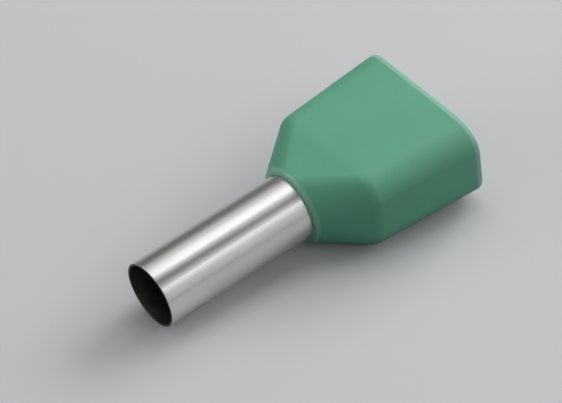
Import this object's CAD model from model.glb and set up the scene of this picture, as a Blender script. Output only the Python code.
from math import atan2, cos, pi, radians, sin, tan

import bmesh
import bpy
from mathutils import Matrix, Vector


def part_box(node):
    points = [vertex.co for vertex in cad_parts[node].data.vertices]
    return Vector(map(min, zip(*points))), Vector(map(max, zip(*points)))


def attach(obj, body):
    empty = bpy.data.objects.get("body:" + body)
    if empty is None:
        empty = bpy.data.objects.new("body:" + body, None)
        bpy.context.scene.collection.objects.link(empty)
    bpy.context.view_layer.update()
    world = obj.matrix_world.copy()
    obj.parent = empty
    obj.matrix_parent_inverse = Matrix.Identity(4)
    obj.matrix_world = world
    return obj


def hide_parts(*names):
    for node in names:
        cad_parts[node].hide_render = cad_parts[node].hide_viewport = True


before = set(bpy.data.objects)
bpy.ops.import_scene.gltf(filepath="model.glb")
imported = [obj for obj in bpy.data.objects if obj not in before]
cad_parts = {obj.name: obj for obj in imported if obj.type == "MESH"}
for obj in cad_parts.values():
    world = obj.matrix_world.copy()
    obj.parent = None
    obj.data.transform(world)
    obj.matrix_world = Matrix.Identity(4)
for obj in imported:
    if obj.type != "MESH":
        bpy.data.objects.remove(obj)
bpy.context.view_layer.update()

# ---------------------------------------------------------------------------
# Barrel
# A seamless sleeve drawn from thin copper sheet and plated with bright tin.
# The collar grips its belled root, and its cut tip is only lightly deburred.
# ---------------------------------------------------------------------------
mm = 0.001
barrel_wall = 0.2 * mm
bell_rise = 0.2 * mm
bell_steps = 12
tip_break = 0.05 * mm
tip_break_steps = 3
barrel_segments = 144
barrel_crisp_angle = radians(40)
tin_pale = (0.72, 0.715, 0.705, 1)
tin_dark = (0.65, 0.645, 0.635, 1)
dull_tin_pale = (0.10, 0.098, 0.094, 1)
dull_tin_dark = (0.07, 0.068, 0.066, 1)

barrel_low, barrel_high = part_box("barrel")
tip_x = barrel_high.x
bell_length = -barrel_low.x
barrel_radius = barrel_high.z - bell_rise


def new_finish(name):
    """A material with its shader, and ways to add a node and to fill a socket."""
    finish = bpy.data.materials.new(name)
    finish.use_nodes = True
    tree = finish.node_tree
    shader = tree.nodes["Principled BSDF"]

    def plug(socket, value):
        if isinstance(value, bpy.types.NodeSocket):
            tree.links.new(value, socket)
        else:
            socket.default_value = value

    def add(kind, settings, sockets):
        node = tree.nodes.new("ShaderNode" + kind)
        for setting, value in settings.items():
            setattr(node, setting, value)
        for socket, value in sockets.items():
            plug(node.inputs[socket], value)
        return node

    return finish, shader, add, plug


def grain(add, place, stretch, scale, detail):
    """Noise on the object's own coordinates, drawn out where stretch is under 1."""
    mapped = add("Mapping", {}, {"Vector": place, "Scale": stretch})
    noise = add("TexNoise", {}, {
        "Vector": mapped.outputs[0], "Scale": scale, "Detail": detail})
    return noise.outputs["Fac"]


def ranged(add, noise, low, high):
    """Goes from low to high over the middle of the noise, where most of it lies."""
    node = add("MapRange", {}, {
        "Value": noise, "From Min": 0.3, "From Max": 0.7, "To Min": low, "To Max": high})
    return node.outputs[0]


def tint(add, share, first, second):
    """A colour that goes from the first to the second as share goes from 0 to 1."""
    mix = add("Mix", {"data_type": "RGBA"}, {0: share, 6: first, 7: second})
    return mix.outputs[2]


def rough(add, plug, shader, height, distance, strength):
    """Raises the surface by the height, as a bump."""
    bump = add("Bump", {}, {"Height": height, "Distance": distance, "Strength": strength})
    plug(shader.inputs["Normal"], bump.outputs[0])


def finished_piece(name, work, finish):
    """Turns the mesh in work into a smooth object with this finish."""
    mesh = bpy.data.meshes.new(name)
    work.to_mesh(mesh)
    work.free()
    mesh.shade_smooth()
    mesh.materials.append(finish)
    piece = bpy.data.objects.new(name, mesh)
    bpy.context.scene.collection.objects.link(piece)
    return piece


# Bright tin: drawn lengthwise, so its fine marks run along the tube
bright_tin, shader, add, plug = new_finish("bright_tin")
place = add("TexCoord", {}, {}).outputs["Object"]
draw_marks = grain(add, place, stretch=(0.012, 1, 1), scale=3000, detail=3)
clouds = grain(add, place, stretch=(0.5, 1, 1), scale=260, detail=2)
plug(shader.inputs["Base Color"], tint(add, ranged(add, clouds, 0, 1), tin_pale, tin_dark))
plug(shader.inputs["Roughness"], ranged(add, draw_marks, low=0.27, high=0.37))
shader.inputs["Metallic"].default_value = 1
rough(add, plug, shader, draw_marks, distance=0.004 * mm, strength=0.3)

# Dull tin: the inside of the tube and its cut end aren't burnished
dull_tin, shader, add, plug = new_finish("dull_tin")
place = add("TexCoord", {}, {}).outputs["Object"]
clouds = grain(add, place, stretch=(0.4, 1, 1), scale=700, detail=3)
plug(shader.inputs["Base Color"], tint(add, ranged(add, clouds, 0, 1), dull_tin_pale, dull_tin_dark))
plug(shader.inputs["Roughness"], ranged(add, clouds, low=0.45, high=0.6))
shader.inputs["Metallic"].default_value = 1
rough(add, plug, shader, clouds, distance=0.01 * mm, strength=0.4)

# The outer line from the belled root to the tip is turned about the axis,
# and then the sheet gets its thickness inwards
tube = bmesh.new()
line = []
for step in range(bell_steps + 1):
    share = 1 - step / bell_steps
    line.append(tube.verts.new((-bell_length * share, 0, barrel_radius + bell_rise * share ** 2)))
line.append(tube.verts.new((tip_x, 0, barrel_radius)))
for start, end in zip(line, line[1:]):
    tube.edges.new((start, end))
bmesh.ops.spin(
    tube, geom=tube.verts[:] + tube.edges[:], cent=(0, 0, 0), axis=(1, 0, 0),
    angle=2 * pi, steps=barrel_segments, use_merge=True)
bmesh.ops.remove_doubles(tube, verts=tube.verts, dist=0.0001 * mm)
bmesh.ops.recalc_face_normals(tube, faces=tube.faces)
bmesh.ops.solidify(tube, geom=tube.faces[:], thickness=barrel_wall)

# The two round edges of the cut tip are broken, and the inside and the flat
# of the cut end get the dull finish, which comes second on the piece
round_edges = [
    edge for edge in tube.edges
    if all(vert.co.x > tip_x - tip_break for vert in edge.verts)
    and abs(edge.verts[0].co.yz.length - edge.verts[1].co.yz.length) < 0.01 * mm]
bmesh.ops.bevel(
    tube, geom=round_edges, offset=tip_break, offset_type="OFFSET", segments=tip_break_steps,
    profile=0.5, affect="EDGES", material=-1, clamp_overlap=False)
for face in tube.faces:
    outwards = Vector((0, *face.calc_center_median().yz)).normalized()
    inside = face.normal.dot(outwards) < -0.5
    cut_end = face.normal.x > 0.9
    face.material_index = int(inside or cut_end)
barrel = finished_piece("barrel_sleeve", tube, bright_tin)
barrel.data.materials.append(dull_tin)
barrel.data.set_sharp_from_angle(angle=barrel_crisp_angle)
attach(barrel, "root")
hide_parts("barrel")

# ---------------------------------------------------------------------------
# Collar
# A moulded shell of green polypropylene that takes two insulated wires side by
# side. It is round where it grips the barrel and a rounded rectangle from the
# shoulder to the wire mouth, with soft edges all over, as it leaves the mould.
# ---------------------------------------------------------------------------
shoulder_x = -3.8 * mm
chamber_x = -4.9 * mm
collar_wall = 0.5 * mm
neck_wall = 0.4 * mm
seat_gap = 0.02 * mm
shoulder_width = 11.4 * mm
shoulder_thickness = 6.9 * mm
shoulder_corner = 2 * mm
mouth_corner = 2.25 * mm
mouth_lead = 0.15 * mm
end_dish = 0.02 * mm
corner_steps = 14
crease_softness = 0.4 * mm
mouth_softness = 0.25 * mm
neck_softness = 0.2 * mm
weld = 0.004 * mm
collar_crisp_angle = radians(35)
green_dark = (0.078, 0.350, 0.214, 1)
green_pale = (0.086, 0.380, 0.232, 1)
mouth_green = (0.24, 0.52, 0.39, 1)
neck_green = (0.19, 0.49, 0.34, 1)

collar_low, collar_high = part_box("collar")
mouth_x = collar_low.x
mouth_width = 2 * collar_high.y
mouth_thickness = 2 * collar_high.z
neck_radius = barrel_radius + neck_wall
seat_radius = barrel_radius + seat_gap


def outline(work, x, width, thickness, corner):
    """The edges of a rounded rectangle across the axis at x."""
    upright = Matrix.Translation((x, 0, 0)) @ Matrix.Rotation(pi / 2, 4, "Y")
    square = bmesh.ops.create_grid(
        work, x_segments=1, y_segments=1, size=0.5,
        matrix=upright @ Matrix.Diagonal((thickness, width, 1, 1)))
    rounded = bmesh.ops.bevel(
        work, geom=square["verts"], offset=corner, offset_type="OFFSET",
        segments=corner_steps, profile=0.5, affect="VERTICES", material=-1)
    faces = rounded["verts"][0].link_faces[:]
    edges = list(faces[0].edges)
    bmesh.ops.delete(work, geom=faces, context="FACES_ONLY")
    return edges


def ring(work, x, radius):
    """The edges of a circle across the axis at x, as many as in an outline.

    It is a square whose corners are so round that they all but meet.
    """
    return outline(work, x, 2 * radius, 2 * radius, corner=0.9995 * radius)


# Outlines are set along the axis, on the outside from the neck to the wire
# mouth and on the inside back to the neck, and bridged into a closed shell
shell = bmesh.new()
neck = ring(shell, 0, neck_radius)
shoulder = outline(shell, shoulder_x, shoulder_width, shoulder_thickness, shoulder_corner)
mouth = outline(shell, mouth_x, mouth_width, mouth_thickness, mouth_corner)
lead_wall = collar_wall - mouth_lead
lead = outline(
    shell, mouth_x + end_dish, mouth_width - 2 * lead_wall,
    mouth_thickness - 2 * lead_wall, mouth_corner - lead_wall)
throat = outline(
    shell, mouth_x + mouth_lead, mouth_width - 2 * collar_wall,
    mouth_thickness - 2 * collar_wall, mouth_corner - collar_wall)
chamber = outline(
    shell, chamber_x, shoulder_width - 2 * collar_wall,
    shoulder_thickness - 2 * collar_wall, shoulder_corner - collar_wall)
seat = [
    ring(shell, -bell_length * share - end_dish, seat_radius + bell_rise * share ** 2)
    for share in (1, 0.75, 0.5, 0.25, 0)]
around = [neck, shoulder, mouth, lead, throat, chamber, *seat, neck]
for near, far in zip(around, around[1:]):
    bmesh.ops.bridge_loops(shell, edges=near + far)
bmesh.ops.recalc_face_normals(shell, faces=shell.faces)
soft_edges = (
    (shoulder, crease_softness, 6), (mouth, mouth_softness, 5),
    (neck, neck_softness, 5), (chamber, crease_softness, 4))
for edges, softness, steps in soft_edges:
    bmesh.ops.bevel(
        shell, geom=edges, offset=softness, offset_type="OFFSET", segments=steps,
        profile=0.5, affect="EDGES", material=-1, clamp_overlap=False, loop_slide=True)
bmesh.ops.remove_doubles(shell, verts=shell.verts, dist=weld)
bmesh.ops.recalc_face_normals(shell, faces=shell.faces)


def end_share(add, along, start, full):
    """Goes softly from 0 where the pale end starts to 1 where it is full."""
    share = add("MapRange", {"interpolation_type": "SMOOTHSTEP"}, {
        "Value": along, "From Min": start, "From Max": full})
    return share.outputs[0]


# Green polypropylene: a satin surface with the faint grain of the mould, and
# paler at the two thin ends, where light comes through
green_plastic, shader, add, plug = new_finish("green_polypropylene")
place = add("TexCoord", {}, {}).outputs["Object"]
along = add("SeparateXYZ", {}, {"Vector": place}).outputs["X"]
clouds = grain(add, place, stretch=(1, 1, 1), scale=220, detail=2)
mould_grain = grain(add, place, stretch=(1, 1, 1), scale=5200, detail=3)
mouth_share = end_share(add, along, start=mouth_x + 0.6 * mm, full=mouth_x + 0.4 * mm)
neck_share = end_share(add, along, start=-0.4 * mm, full=-0.1 * mm)
green = tint(add, ranged(add, clouds, 0, 1), green_dark, green_pale)
green = tint(add, mouth_share, green, mouth_green)
green = tint(add, neck_share, green, neck_green)
plug(shader.inputs["Base Color"], green)
plug(shader.inputs["Roughness"], ranged(add, mould_grain, low=0.60, high=0.70))
shader.inputs["Specular IOR Level"].default_value = 1
rough(add, plug, shader, mould_grain, distance=0.006 * mm, strength=0.5)
collar = finished_piece("collar_shell", shell, green_plastic)
collar.data.set_sharp_from_angle(angle=collar_crisp_angle)
collar.modifiers.new("even_shading", "WEIGHTED_NORMAL").keep_sharp = True
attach(collar, "root")
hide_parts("collar")

# ---------------------------------------------------------------------------
# Floor
# A plain pale table top. The ferrule lies on the lower edge of its open tip
# and on the underside of its shoulder, so the top passes through both.
# ---------------------------------------------------------------------------
floor_size = 1.6
floor_seen = (0.60, 0.605, 0.62, 1)
floor_bounce = (0.15, 0.152, 0.157, 1)

tip_rest = Vector((tip_x, 0, -barrel_radius))
shoulder_rest = Vector((shoulder_x, 0, -shoulder_thickness / 2))
floor_tilt = atan2(tip_rest.z - shoulder_rest.z, tip_rest.x - shoulder_rest.x)

table_top = bmesh.new()
bmesh.ops.create_grid(
    table_top, x_segments=1, y_segments=1, size=floor_size / 2,
    matrix=Matrix.Translation(tip_rest) @ Matrix.Rotation(-floor_tilt, 4, "Y"))

# The top is pale to the eye and in the tin's mirror, but throws little light back
pale_floor, shader, add, plug = new_finish("pale_floor")
rays = add("LightPath", {}, {}).outputs
mirrored = add("Math", {"operation": "MAXIMUM"}, {
    0: rays["Is Glossy Ray"], 1: rays["Is Transmission Ray"]})
looked_at = add("Math", {"operation": "MAXIMUM"}, {
    0: rays["Is Camera Ray"], 1: mirrored.outputs[0]})
plug(shader.inputs["Base Color"], tint(add, looked_at.outputs[0], floor_bounce, floor_seen))
shader.inputs["Roughness"].default_value = 0.7
floor = finished_piece("floor", table_top, pale_floor)

# ---------------------------------------------------------------------------
# Lamps
# Long soft boxes hang lengthwise over the ferrule: a strong one with a weak
# one behind it, and two weak ones in front. A short box beyond the wire mouth
# lights its lip, and another past the tip lights the end of the neck.
# ---------------------------------------------------------------------------
lamp_distance = 0.6
long_box = 1.2
long_box_shift = -0.45
short_box = 0.5
sky_glow = 0.13


def soft_box(name, turn, lean, shift, length, spread, glow):
    """A soft box that leans from upright and then turns about the upright.

    The turn, the lean and the spread to each side are in degrees.
    """
    width = 2 * lamp_distance * tan(radians(spread))
    light = bpy.data.lights.new(name, "AREA")
    light.shape = "RECTANGLE"
    light.size = length
    light.size_y = width
    light.energy = glow * pi * length * width
    lamp = bpy.data.objects.new(name, light)
    bpy.context.scene.collection.objects.link(lamp)
    lamp.matrix_world = (
        Matrix.Rotation(radians(turn), 4, "Z")
        @ Matrix.Rotation(radians(lean), 4, "X")
        @ Matrix.Translation((shift, 0, lamp_distance)))


soft_box("back_lamp", 0, 12, long_box_shift, long_box, spread=16, glow=1.5)
soft_box("wash_lamp", 0, 40, long_box_shift, long_box, spread=10, glow=0.65)
soft_box("front_lamp", 0, -46, long_box_shift, long_box, spread=9, glow=0.84)
soft_box("fill_lamp", 0, -64, long_box_shift, long_box, spread=22, glow=0.5)
soft_box("mouth_lamp", -90, 66, 0, short_box, spread=14, glow=5.2)
soft_box("tip_lamp", 60, 72, 0, short_box, spread=14, glow=1.8)

world = bpy.data.worlds.new("studio")
world.use_nodes = True
background = world.node_tree.nodes["Background"]
background.inputs["Color"].default_value = (1, 1, 1, 1)
background.inputs["Strength"].default_value = sky_glow
bpy.context.scene.world = world

# ---------------------------------------------------------------------------
# Camera
# Looks down at the open tip of the barrel from the front right, through a long
# lens from far away, and is rolled a little about its line of sight.
# ---------------------------------------------------------------------------
camera_aim = Vector((0.364, -0.619, 0.33)) * mm
camera_distance = 296.9 * mm
camera_azimuth = radians(57.62)
camera_height = radians(45.13)
camera_roll = radians(-8.07)
camera_lens = 258.5

lens = bpy.data.cameras.new("camera")
lens.sensor_width = 36
lens.lens = camera_lens
lens.clip_start = 0.02
lens.clip_end = 10
camera = bpy.data.objects.new("camera", lens)
bpy.context.scene.collection.objects.link(camera)
back = Vector((
    cos(camera_azimuth) * cos(camera_height),
    sin(camera_azimuth) * cos(camera_height),
    sin(camera_height)))
camera.matrix_world = (
    Matrix.Translation(camera_aim + back * camera_distance)
    @ back.to_track_quat("Z", "Y").to_matrix().to_4x4()
    @ Matrix.Rotation(camera_roll, 4, "Z"))
bpy.context.scene.camera = camera
bpy.context.scene.view_settings.view_transform = "Standard"
